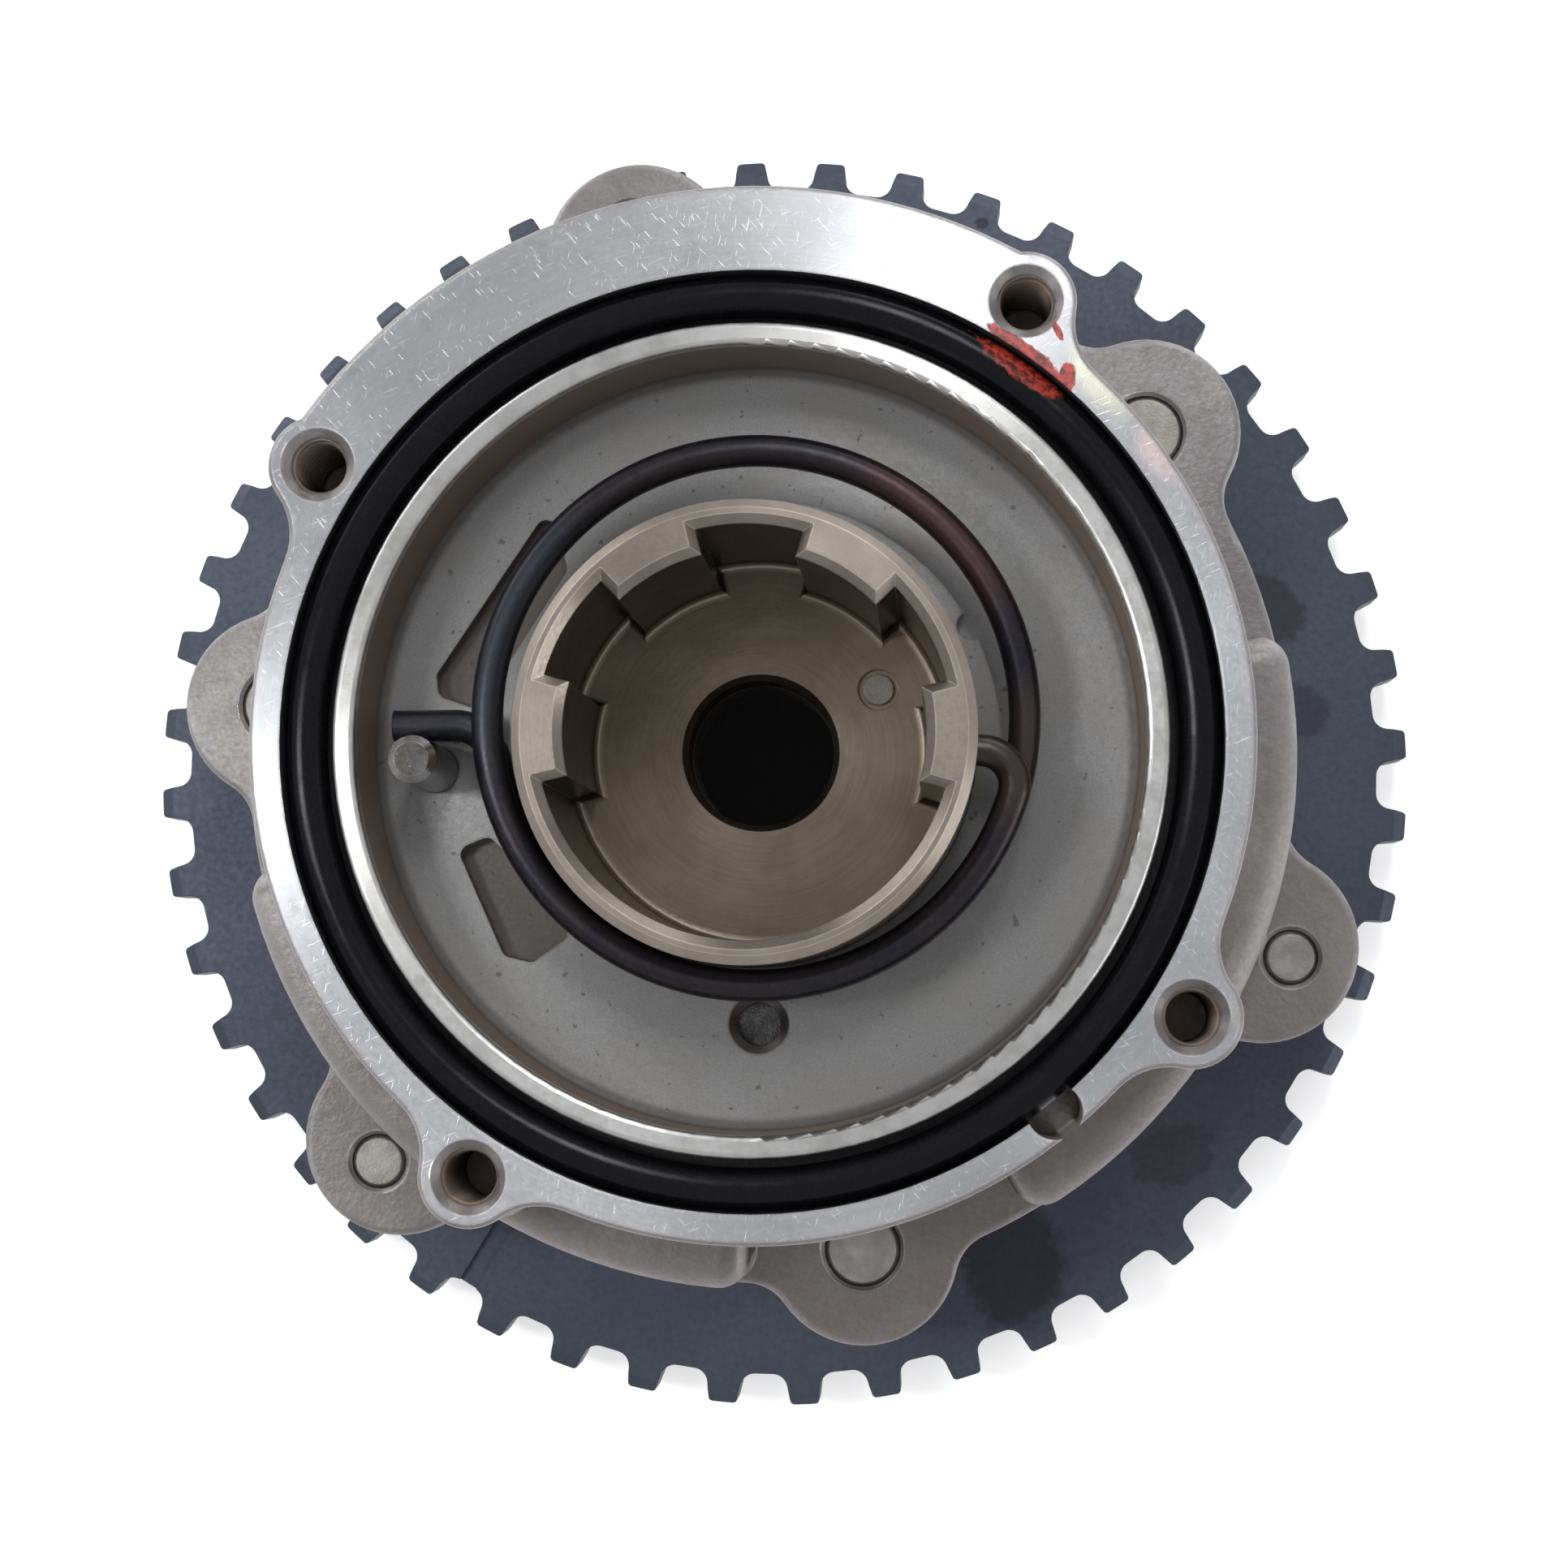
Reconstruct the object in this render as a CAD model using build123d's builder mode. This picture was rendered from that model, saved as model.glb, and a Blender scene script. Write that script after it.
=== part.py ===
from build123d import *
from math import asin, atan2, cos, degrees, hypot, pi, radians, sin, sqrt
import os

# Camshaft sprocket with a three-vane hydraulic phaser
# Millimetres. The axis is Z, z = 0 is the back of the sprocket, +Z points to the front flange.

# Sprocket teeth
teeth = 48
chain_pitch = 8.0
addendum = 1.84
tooth_depth = 3.1
gullet_width = 4.2
flank_angle = 12.0
gullet_round = 1.5
tip_round = 0.45
tip_bevel = 1.2
tip_bevel_height = 0.7
first_tooth_angle = 2.49
tooth_width = 5.5

# Sprocket plate
plate_thickness = 8.0
boss_r = 58.0
boss_chamfer = 0.6
mark_angle = -121.26
mark_width = 1.9
mark_depth = 0.6
mark_inner_r = 50.0

# Heights of the housing above the sprocket plate
ear_height = 21.0
bulge_height = 29.5
floor_height = 34.0
flange_height = 43.5
rim_stand = 0.6
neck_stand = 2.2
chamber_depth = 25.0

# Housing outline
drum_r = 49.0
ear_root_round = 4.5
ear_edge_round = 0.6
bulge_spans = [(-60.0, 13.0), (-167.0, -91.0)]
bulge_corner = 3.0
bulge_round = 2.6
flange_land = 2.75
flange_edge = 0.4
shoulder_stand = 4.8
cover_bolt_land = 3.95
cover_bolt_angle = 57.5
cover_boss_r = 4.45
cover_boss_root_round = 6.0
cover_tap_r = 2.5
cover_tap_chamfer = 0.8
cover_tap_depth = 14.5

# Screws that hold the housing to the sprocket, as radius and angle, and the ears round them
large_screw_spots = [(47.2, 40.4), (46.7, -78.7), (46.6, 173.6)]
small_screw_spots = [(52.4, -21.0), (52.4, -133.8), (52.4, 104.0)]
large_ear_r = 8.9
small_ear_r = 9.0
small_ear_circle_r = 49.5
large_screw_r = 3.45
small_screw_r = 2.5
thread_gap = 0.05
large_head_r = 5.8
small_head_r = 4.3
screw_head_height = 3.2
head_gap = 0.3
head_sink = 0.3
large_socket_r = 2.9
small_socket_r = 2.3
socket_depth = 1.8
screw_end_chamfer = 0.4
screw_end_sink = 0.2
ear_hole_chamfer = 0.4

# Front face of the housing
recess_floor_round = 0.6
rim_outer_r = 36.3
rim_width = 1.95
rim_round = 0.5
groove_width = 4.75
o_ring_section = 3.7
o_ring_side_gap = 0.2
oil_hole_r = 2.4
oil_hole_spot = (26.24, -32.23)
oil_hole_depth = 12.0
neck_r = 22.0
neck_notch_angle = 28.5
neck_notch_r = 1.3
plug_spot = (0.32, -24.87)
plug_r = 1.95
plug_mouth_r = 2.75
plug_sink = 1.3
plug_length = 5.0
pocket_depth = 2.0
pocket_round = 1.0
upper_pocket = [(-18.6, 22.0), (-28.9, 6.6), (-28.7, 4.6), (-25.0, 3.4), (-17.0, 16.0)]
lower_pocket = [(-26.9, -9.2), (-24.0, -8.0), (-18.0, -14.0), (-16.6, -17.0), (-20.0, -19.4), (-22.6, -18.8)]

# Chambers, vanes and their seals
chamber_spans = [(-57.0, 11.0), (-165.0, -94.0), (69.0, 139.0)]
chamber_r = 44.6
chamber_corner = 1.5
lobe_centres = [40.0, -75.5, 167.0]
vane_centres = [-38.2, -144.0, 89.0]
vane_angle = 37.0
vane_corner = 2.2
body_gap = 0.3
running_gap = 0.05
rotor_core_r = 27.0
seal_width = 2.4
seal_slot_width = 2.5
seal_height = 3.5
seal_spring_space = 1.75
seal_spring_thickness = 0.3
seal_spring_length = 21.0
seal_spring_width = 2.0

# Rotor
journal_r = 19.9
journal_recess = 0.3
pilot_r = 12.5
pilot_depth = 19.7
bolt_passage_r = 6.72
cam_dowel_r = 2.0
cam_dowel_circle_r = 16.2
cam_dowel_angle = 90.0
cam_dowel_depth = 7.0
oil_passage_r = 1.25
oil_passage_offset = 22.0
oil_passage_heights = (3.0, 8.0)
spigot_r = 17.0
spigot_depth = 4.0
seat_gap = 0.02

# Spring hub
hub_r = 19.8
hub_height = 25.35
hub_inner_r = 17.7
hub_rim_chamfer = 0.8
hub_floor = 1.45
lug_inner_r = 15.45
lug_angle = 30.0
lug_angles = [-1.3, 58.5, 118.5, 179.0]
hub_floor_round = 0.8
bolt_seat_chamfer = 0.6
hub_dowel_spot = (10.83, 5.78)
hub_dowel_r = 1.4
hub_dowel_ring_r = 1.9
hub_dowel_ring_depth = 0.4
hub_dowel_length = 9.4

# Return spring and its pin
wire_r = 1.4
coil_r = 23.5
coil_centre = (0.45, 2.0)
leg_y = 1.6
leg_end_gap = 2.45
leg_bend_r = 3.75
leg_lift = 4.0
hook_angle = -3.5
hook_bend_r = 3.0
hook_end_r = 17.3
hook_lift = 9.4
hook_hole_gap = 0.12
spring_pin_r = 2.1
spring_pin_inset = 3.0
spring_pin_gap = 0.1
spring_pin_stand = 12.5
spring_pin_depth = 6.0
spring_pin_chamfer = 0.6

# Lock pin, its spring, cap and bush
lock_circle_r = 33.0
lock_pin_r = 4.0
lock_nose_r = 3.0
lock_nose_length = 3.0
lock_nose_chamfer = 0.5
lock_pin_length = 14.0
lock_pin_lift = 0.3
lock_travel = 1.2
lock_pocket_r = 2.8
lock_pocket_depth = 8.3
lock_wire_r = 0.35
lock_coil_r = 2.2
lock_coil_turns = 7
lock_cap_r = 5.0
lock_cap_thickness = 3.0
lock_cap_sink = 0.45
lock_stop_r = 1.3
lock_stop_gap = 0.1
lock_vent_r = 0.8
lock_bush_r = 5.0
lock_bush_depth = 3.5
lock_bush_gap = 0.15

# Worked out from the sizes above
pitch_r = chain_pitch / (2 * sin(pi / teeth))
tip_r = pitch_r + addendum
gullet_r = tip_r - tooth_depth
tooth_step = 360 / teeth
tooth_rear = plate_thickness - tooth_width
recess_r = rim_outer_r - rim_width
groove_outer_r = rim_outer_r + groove_width
o_ring_r = groove_outer_r - o_ring_side_gap - o_ring_section / 2
flange_r = groove_outer_r + flange_land
shoulder_r = flange_r + shoulder_stand
cover_bolt_circle_r = groove_outer_r + cover_bolt_land
shoulder_span = (cover_bolt_angle, cover_bolt_angle + 90)
ear_top = plate_thickness + ear_height
bulge_inner_r = flange_r - bulge_corner
floor_z = plate_thickness + floor_height
flange_top = plate_thickness + flange_height
rim_top = flange_top + rim_stand
neck_top = floor_z + neck_stand
chamber_top = plate_thickness + chamber_depth
vane_tip_r = chamber_r - body_gap
lobe_tip_r = rotor_core_r + body_gap
rotor_rear = plate_thickness + running_gap
rotor_front = chamber_top - running_gap
seal_slot_depth = seal_height - body_gap + running_gap + seal_spring_space
seal_spring_rise = seal_spring_space - seal_spring_thickness - 2 * seat_gap
hub_top = rotor_front + hub_height
hub_floor_z = rotor_front + hub_floor
leg_z = floor_z + leg_lift
hook_z = floor_z + hook_lift
leg_end_x = leg_end_gap - recess_r
spring_pin_x = leg_end_x + spring_pin_inset
spring_pin_y = leg_y - wire_r - spring_pin_gap - spring_pin_r
lock_cap_front = rotor_front - lock_cap_sink
lock_cap_rear = lock_cap_front - lock_cap_thickness
lock_pin_rear = plate_thickness + lock_pin_lift
lock_pin_front = lock_pin_rear + lock_pin_length
lock_pocket_z = lock_pin_front - lock_pocket_depth


def polar(radius, angle):
    """A point in the XY plane from its radius and its angle in degrees."""
    return (radius * cos(radians(angle)), radius * sin(radians(angle)))


def ring_sector(inner_r, outer_r, start, end):
    """The face between two radii and two angles in degrees."""
    with BuildSketch(mode=Mode.PRIVATE) as sector:
        with BuildLine():
            CenterArc((0, 0), outer_r, start, end - start)
            Line(polar(outer_r, end), polar(inner_r, end))
            CenterArc((0, 0), inner_r, start, end - start)
            Line(polar(inner_r, start), polar(outer_r, start))
        make_face()
    return sector.sketch


def radial_bar(inner_r, outer_r, angle, width):
    """A straight bar of even width that runs outward between two radii."""
    with BuildSketch(mode=Mode.PRIVATE) as bar:
        with Locations(Location((*polar((inner_r + outer_r) / 2, angle), 0), (0, 0, angle))):
            Rectangle(outer_r - inner_r, width)
    return bar.sketch


def corners_at(sketch, radius):
    """The corners of a sketch at one distance from the axis, without the seam that a full circle has on X."""
    ring = sketch.vertices().filter_by(lambda vertex: abs(hypot(vertex.X, vertex.Y) - radius) < 0.01)
    return ring.filter_by(lambda vertex: abs(vertex.Y) > 0.01)


def save(piece, name):
    """Labels a finished piece and writes it."""
    piece.part.label = name
    export_step(piece.part, f"parts/{name}.step")


os.makedirs("parts", exist_ok=True)

large_screws = [polar(radius, angle) for radius, angle in large_screw_spots]
small_screws = [polar(radius, angle) for radius, angle in small_screw_spots]
small_ears = [polar(small_ear_circle_r, angle) for radius, angle in small_screw_spots]
lock_spot = polar(lock_circle_r, vane_centres[0])

# One gap between two teeth, opening outward along +X
gullet_reach = 2 * tooth_depth
gullet_mouth = gullet_width + 2 * gullet_reach * sin(radians(flank_angle))
with BuildSketch() as gullet:
    with BuildLine():
        Polyline(
            (gullet_r, -gullet_width / 2),
            (gullet_r + gullet_reach, -gullet_mouth / 2),
            (gullet_r + gullet_reach, gullet_mouth / 2),
            (gullet_r, gullet_width / 2),
            close=True,
        )
    make_face()
    fillet(gullet.vertices().group_by(Axis.X)[0], gullet_round)

# The bevel that is turned off the tooth tips, at the front and at the back
with BuildSketch(Plane.XZ) as tip_bevels:
    bevel_reach = 2 * tip_bevel
    bevel_drop = tip_bevel_height * bevel_reach / tip_bevel
    for face_z, drop in ((plate_thickness, -bevel_drop), (tooth_rear, bevel_drop)):
        with BuildLine():
            Polyline(
                (tip_r - tip_bevel, face_z),
                (tip_r - tip_bevel + bevel_reach, face_z),
                (tip_r - tip_bevel + bevel_reach, face_z + drop),
                close=True,
            )
        make_face()

# Chain sprocket: toothed plate, rear boss, screw seats, bush seat and timing mark
with BuildPart() as chain_sprocket:
    with BuildSketch(Plane.XY.offset(tooth_rear)) as tooth_outline:
        Circle(tip_r)
        with PolarLocations(0, teeth, start_angle=first_tooth_angle + tooth_step / 2):
            add(gullet.sketch, mode=Mode.SUBTRACT)
        fillet(corners_at(tooth_outline, tip_r), tip_round)
    extrude(amount=tooth_width)
    add(tip_bevels.sketch)
    revolve(axis=Axis.Z, mode=Mode.SUBTRACT)
    with BuildSketch():
        Circle(boss_r)
    extrude(amount=plate_thickness)
    chamfer(chain_sprocket.edges().group_by(Axis.Z)[0], boss_chamfer)
    with BuildSketch():
        Circle(journal_r + running_gap)
        with Locations(*large_screws):
            Circle(large_screw_r + thread_gap)
        with Locations(*small_screws):
            Circle(small_screw_r + thread_gap)
        with Locations(lock_spot):
            Circle(lock_vent_r)
    extrude(amount=plate_thickness, mode=Mode.SUBTRACT)
    with BuildSketch():
        with Locations(*large_screws):
            Circle(large_head_r + head_gap)
        with Locations(*small_screws):
            Circle(small_head_r + head_gap)
    extrude(amount=screw_head_height + head_sink, mode=Mode.SUBTRACT)
    with BuildSketch(Plane.XY.offset(plate_thickness)):
        with Locations(lock_spot):
            Circle(lock_bush_r + seat_gap)
    extrude(amount=-lock_bush_depth, mode=Mode.SUBTRACT)
    with BuildSketch(Plane.XY.offset(plate_thickness)):
        add(radial_bar(mark_inner_r, tip_r, mark_angle, mark_width))
    extrude(amount=-mark_depth, mode=Mode.SUBTRACT)
save(chain_sprocket, "chain_sprocket")

# Raised roofs over the two lower chambers, round at the steps and along the top
with BuildPart() as bulges:
    with BuildSketch(Plane.XY.offset(plate_thickness)) as bulge_outline:
        for start, end in bulge_spans:
            add(ring_sector(bulge_inner_r, drum_r, start, end))
        fillet(corners_at(bulge_outline, drum_r), bulge_corner)
    extrude(amount=bulge_height)
    roof_edges = bulges.edges().group_by(Axis.Z)[-1]
    outer_edges = roof_edges.filter_by(lambda edge: hypot(edge.center().X, edge.center().Y) > bulge_inner_r + 1)
    fillet(outer_edges, bulge_round)

# Housing: drum with ears, roofs, flange with its bosses, recess, groove, rim and neck
with BuildPart() as housing:
    with BuildSketch(Plane.XY.offset(plate_thickness)) as ledge_outline:
        Circle(drum_r)
        with Locations(*large_screws):
            Circle(large_ear_r)
        with Locations(*small_ears):
            Circle(small_ear_r)
        fillet(corners_at(ledge_outline, drum_r), ear_root_round)
    extrude(amount=ear_height)
    fillet(housing.faces().sort_by(Axis.Z)[-1].edges(), ear_edge_round)
    add(bulges.part)
    with BuildSketch(Plane.XY.offset(plate_thickness)) as flange_outline:
        Circle(flange_r)
        add(ring_sector(bulge_inner_r, shoulder_r, *shoulder_span))
        with PolarLocations(cover_bolt_circle_r, 4, start_angle=cover_bolt_angle):
            Circle(cover_boss_r)
        fillet(corners_at(flange_outline, flange_r), cover_boss_root_round)
    extrude(amount=flange_height)
    chamfer(housing.faces().sort_by(Axis.Z)[-1].edges(), flange_edge)

    # Recess, neck, O-ring groove and the hub's opening, turned about the axis
    with BuildSketch(Plane.XZ):
        with Locations((0, rim_top)):
            Rectangle(recess_r, rim_top - neck_top, align=(Align.MIN, Align.MAX))
            Rectangle(hub_r + running_gap, rim_top - chamber_top, align=(Align.MIN, Align.MAX))
        with Locations((neck_r, rim_top)):
            Rectangle(recess_r - neck_r, rim_top - floor_z, align=(Align.MIN, Align.MAX))
        with Locations((rim_outer_r, rim_top)):
            Rectangle(groove_outer_r - rim_outer_r, rim_stand + o_ring_section, align=(Align.MIN, Align.MAX))
    revolve(axis=Axis.Z, mode=Mode.SUBTRACT)
    floor_corner = housing.edges().filter_by(GeomType.CIRCLE).filter_by(
        lambda edge: abs(edge.radius - recess_r) < 0.01 and abs(edge.center().Z - floor_z) < 0.01
    )
    fillet(floor_corner, recess_floor_round)
    with BuildSketch(Plane.XY.offset(flange_top)):
        Circle(rim_outer_r)
        Circle(recess_r, mode=Mode.SUBTRACT)
    extrude(amount=rim_stand)
    fillet(housing.faces().sort_by(Axis.Z)[-1].edges(), rim_round)

    # Chambers, open towards the sprocket, and the slots for the lobe seals
    with BuildSketch(Plane.XY.offset(plate_thickness)) as chambers:
        for start, end in chamber_spans:
            add(ring_sector(rotor_core_r, chamber_r, start, end))
        fillet(corners_at(chambers, chamber_r), chamber_corner)
        Circle(lobe_tip_r)
        for angle in lobe_centres:
            add(radial_bar(rotor_core_r, lobe_tip_r + seal_slot_depth, angle, seal_slot_width))
    extrude(amount=chamber_depth, mode=Mode.SUBTRACT)

    # Screw holes through the ears
    for spots, screw_r in ((large_screws, large_screw_r), (small_screws, small_screw_r)):
        hole_r = screw_r + thread_gap
        with Locations(*[(x, y, ear_top) for x, y in spots]):
            CounterSinkHole(hole_r, hole_r + ear_hole_chamfer, ear_height, 90)

    # Tapped holes for the front cover, oil hole, plug hole and spring pin hole
    with Locations((0, 0, flange_top)):
        with PolarLocations(cover_bolt_circle_r, 4, start_angle=cover_bolt_angle):
            CounterSinkHole(cover_tap_r, cover_tap_r + cover_tap_chamfer, cover_tap_depth, 90)
    with Locations((*oil_hole_spot, flange_top)):
        Hole(oil_hole_r, oil_hole_depth)
    with Locations((*plug_spot, floor_z)):
        CounterSinkHole(plug_r, plug_mouth_r, plug_sink + plug_length, 90)
    with Locations((spring_pin_x, spring_pin_y, floor_z)):
        Hole(spring_pin_r + seat_gap, spring_pin_depth)

    # Cast pockets in the recess floor and the notch in the neck
    with BuildSketch(Plane.XY.offset(floor_z)) as pockets:
        for corners in (upper_pocket, lower_pocket):
            with BuildLine():
                Polyline(*corners, close=True)
            make_face()
        fillet(pockets.vertices(), pocket_round)
    extrude(amount=-pocket_depth, mode=Mode.SUBTRACT)
    with BuildSketch(Plane.XY.offset(floor_z)):
        with Locations(polar(neck_r, neck_notch_angle)):
            Circle(neck_notch_r)
    extrude(amount=neck_stand, mode=Mode.SUBTRACT)
save(housing, "housing")

# O-ring, lying on the groove's bottom
with BuildPart() as o_ring:
    with Locations((0, 0, flange_top - o_ring_section / 2)):
        Torus(o_ring_r, o_ring_section / 2)
save(o_ring, "o_ring")

# Plug, sunk in the recess floor
with BuildPart() as floor_plug:
    with BuildSketch(Plane.XY.offset(floor_z - plug_sink)):
        with Locations(plug_spot):
            Circle(plug_r - seat_gap)
    extrude(amount=-plug_length)
save(floor_plug, "floor_plug")

# Pin that the return spring's leg leans on
with BuildPart() as spring_pin:
    with BuildSketch(Plane.XY.offset(floor_z - spring_pin_depth)):
        with Locations((spring_pin_x, spring_pin_y)):
            Circle(spring_pin_r)
    extrude(amount=spring_pin_depth + spring_pin_stand)
    chamfer(spring_pin.edges().group_by(Axis.Z)[-1], spring_pin_chamfer)
save(spring_pin, "spring_pin")


def make_screw(name, spot, shank_r, head_r, socket_r):
    """A low-head screw, put in from the back, with its end in the ear's thread."""
    shoulder_z = head_sink + screw_head_height
    with BuildPart() as screw:
        with BuildSketch(Plane.XY.offset(head_sink)):
            with Locations(spot):
                Circle(head_r)
        extrude(amount=screw_head_height)
        chamfer(screw.edges().group_by(Axis.Z)[0], screw_end_chamfer)
        with BuildSketch(Plane.XY.offset(shoulder_z)):
            with Locations(spot):
                Circle(shank_r)
        extrude(amount=ear_top - screw_end_sink - shoulder_z)
        chamfer(screw.edges().group_by(Axis.Z)[-1], screw_end_chamfer)
        with BuildSketch(Plane.XY.offset(head_sink)):
            with Locations(spot):
                RegularPolygon(socket_r, 6)
        extrude(amount=socket_depth, mode=Mode.SUBTRACT)
    save(screw, name)


for number, spot in enumerate(large_screws, 1):
    make_screw(f"screw_large_{number}", spot, large_screw_r, large_head_r, large_socket_r)
for number, spot in enumerate(small_screws, 1):
    make_screw(f"screw_small_{number}", spot, small_screw_r, small_head_r, small_socket_r)

# Rotor: core with three vanes, rear journal, camshaft seat, bolt passage and oil passages
with BuildPart() as rotor:
    with BuildSketch(Plane.XY.offset(rotor_rear)) as vanes:
        for angle in vane_centres:
            add(ring_sector(rotor_core_r - 1, vane_tip_r, angle - vane_angle / 2, angle + vane_angle / 2))
        fillet(corners_at(vanes, vane_tip_r), vane_corner)
        Circle(rotor_core_r)
        for angle in vane_centres:
            slot = radial_bar(vane_tip_r - seal_slot_depth, chamber_r, angle, seal_slot_width)
            add(slot, mode=Mode.SUBTRACT)
    extrude(amount=rotor_front - rotor_rear)
    with BuildSketch(Plane.XY.offset(journal_recess)):
        Circle(journal_r)
    extrude(amount=rotor_rear - journal_recess)
    with Locations((0, 0, rotor_front)):
        CounterBoreHole(bolt_passage_r, spigot_r + seat_gap, spigot_depth)
        with Locations(hub_dowel_spot):
            Hole(hub_dowel_r + seat_gap, hub_dowel_length - hub_floor)
    with BuildSketch(Plane.XY.offset(journal_recess)):
        Circle(pilot_r)
    extrude(amount=pilot_depth, mode=Mode.SUBTRACT)
    with BuildSketch(Plane.XY.offset(journal_recess)):
        with Locations(polar(cam_dowel_circle_r, cam_dowel_angle)):
            Circle(cam_dowel_r)
    extrude(amount=cam_dowel_depth, mode=Mode.SUBTRACT)

    # Oil passages from the camshaft seat to both sides of each vane
    for vane in vane_centres:
        for side, height in zip((-1, 1), oil_passage_heights):
            outward = (*polar(1, vane + side * oil_passage_offset), 0)
            with BuildSketch(Plane(origin=(0, 0, rotor_rear + height), z_dir=outward)):
                Circle(oil_passage_r)
            extrude(amount=rotor_core_r + 1, mode=Mode.SUBTRACT)

    # Bore of the lock pin and the seat of its cap
    with BuildSketch(Plane.XY.offset(rotor_rear)):
        with Locations(lock_spot):
            Circle(lock_pin_r + running_gap)
    extrude(amount=lock_cap_rear - rotor_rear, mode=Mode.SUBTRACT)
    with BuildSketch(Plane.XY.offset(lock_cap_rear)):
        with Locations(lock_spot):
            Circle(lock_cap_r + seat_gap)
    extrude(amount=rotor_front - lock_cap_rear, mode=Mode.SUBTRACT)
save(rotor, "rotor")

# Spring hub: cup with a spigot in the rotor, four inner lugs down to its floor and the hole for the spring's hook
with BuildPart() as spring_hub:
    with BuildSketch(Plane.XY.offset(rotor_front - spigot_depth)):
        Circle(spigot_r)
    extrude(amount=spigot_depth)
    with BuildSketch(Plane.XY.offset(rotor_front)):
        Circle(hub_r)
    extrude(amount=hub_height)
    with BuildSketch(Plane.XY.offset(hub_floor_z)):
        Circle(hub_inner_r)
        for angle in lug_angles:
            lug = ring_sector(lug_inner_r, hub_r, angle - lug_angle / 2, angle + lug_angle / 2)
            add(lug, mode=Mode.SUBTRACT)
    extrude(amount=hub_top - hub_floor_z, mode=Mode.SUBTRACT)
    chamfer(spring_hub.faces().sort_by(Axis.Z)[-1].edges(), hub_rim_chamfer)
    cup_floor = spring_hub.faces().filter_by(Axis.Z).filter_by(lambda face: abs(face.center().Z - hub_floor_z) < 0.01)
    fillet(cup_floor.edges(), hub_floor_round)
    with Locations((0, 0, hub_floor_z)):
        CounterSinkHole(bolt_passage_r, bolt_passage_r + bolt_seat_chamfer, hub_floor + spigot_depth, 90)
        with Locations(hub_dowel_spot):
            CounterBoreHole(
                hub_dowel_r + seat_gap, hub_dowel_ring_r, hub_dowel_ring_depth, hub_floor + spigot_depth
            )
    with BuildSketch(Plane(origin=(0, 0, hook_z), z_dir=(*polar(1, hook_angle), 0))):
        Circle(wire_r + hook_hole_gap)
    extrude(amount=hub_r + 1, mode=Mode.SUBTRACT)
save(spring_hub, "spring_hub")

# Dowel between hub and rotor
with BuildPart() as hub_dowel:
    with BuildSketch(Plane.XY.offset(hub_floor_z)):
        with Locations(hub_dowel_spot):
            Circle(hub_dowel_r)
    extrude(amount=-hub_dowel_length)
save(hub_dowel, "hub_dowel")


def rising_arc(centre, radius, start_angle, sweep_angle, start_z, slope):
    """A stretch of helix about an upright axis, climbing with the same slope whichever way it turns."""
    climb = radius * radians(abs(sweep_angle)) * slope
    turn_climb = 2 * pi * radius * slope
    helix = Helix(turn_climb, climb, radius, (*centre, start_z), lefthand=sweep_angle < 0, mode=Mode.PRIVATE)
    return helix.rotate(Axis((*centre, 0), (0, 0, 1)), start_angle)


# Route of the return spring from the leg up to the hook, as lengths and angles seen from the front
leg_bend_y = leg_y - leg_bend_r
leg_bend_angle = degrees(asin((leg_bend_y - coil_centre[1]) / (coil_r + leg_bend_r)))
leg_bend_x = coil_centre[0] - (coil_r + leg_bend_r) * cos(radians(leg_bend_angle))
leg_length = leg_bend_x - leg_end_x
leg_bend_sweep = 90 + leg_bend_angle
hook_in = polar(1, hook_angle)
hook_side = polar(hook_bend_r, hook_angle - 90)
offset_x = hook_side[0] - coil_centre[0]
offset_y = hook_side[1] - coil_centre[1]
along = hook_in[0] * offset_x + hook_in[1] * offset_y
hook_bend_reach = sqrt(along**2 - offset_x**2 - offset_y**2 + (coil_r - hook_bend_r) ** 2) - along
hook_bend_centre = (hook_in[0] * hook_bend_reach + hook_side[0], hook_in[1] * hook_bend_reach + hook_side[1])
coil_end_angle = degrees(atan2(hook_bend_centre[1] - coil_centre[1], hook_bend_centre[0] - coil_centre[0]))
coil_start_angle = 180 - leg_bend_angle
coil_sweep = coil_end_angle - coil_start_angle + 720
hook_sweep = hook_angle + 90 - coil_end_angle
hook_length = hook_bend_reach - hook_end_r
plan_length = (
    leg_length
    + leg_bend_r * radians(leg_bend_sweep)
    + coil_r * radians(coil_sweep)
    + hook_bend_r * radians(hook_sweep)
    + hook_length
)
wire_slope = (hook_z - leg_z) / plan_length
bend_z = leg_z + leg_length * wire_slope
coil_z = bend_z + leg_bend_r * radians(leg_bend_sweep) * wire_slope
hook_bend_z = coil_z + coil_r * radians(coil_sweep) * wire_slope
hook_bend_end_z = hook_bend_z + hook_bend_r * radians(hook_sweep) * wire_slope

# Return spring: leg, bend, coil and hook as one wire that climbs evenly
with BuildPart() as torsion_spring:
    with BuildLine() as wire_route:
        Line((leg_end_x, leg_y, leg_z), (leg_bend_x, leg_y, bend_z))
        add(rising_arc((leg_bend_x, leg_bend_y), leg_bend_r, 90, -leg_bend_sweep, bend_z, wire_slope))
        add(rising_arc(coil_centre, coil_r, coil_start_angle, coil_sweep, coil_z, wire_slope))
        add(rising_arc(hook_bend_centre, hook_bend_r, coil_end_angle, hook_sweep, hook_bend_z, wire_slope))
        Line((*polar(hook_bend_reach, hook_angle), hook_bend_end_z), (*polar(hook_end_r, hook_angle), hook_z))
    with BuildSketch(Plane(origin=wire_route.line @ 0, z_dir=wire_route.line % 0)):
        Circle(wire_r)
    sweep(path=wire_route.wire())
save(torsion_spring, "torsion_spring")


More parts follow.
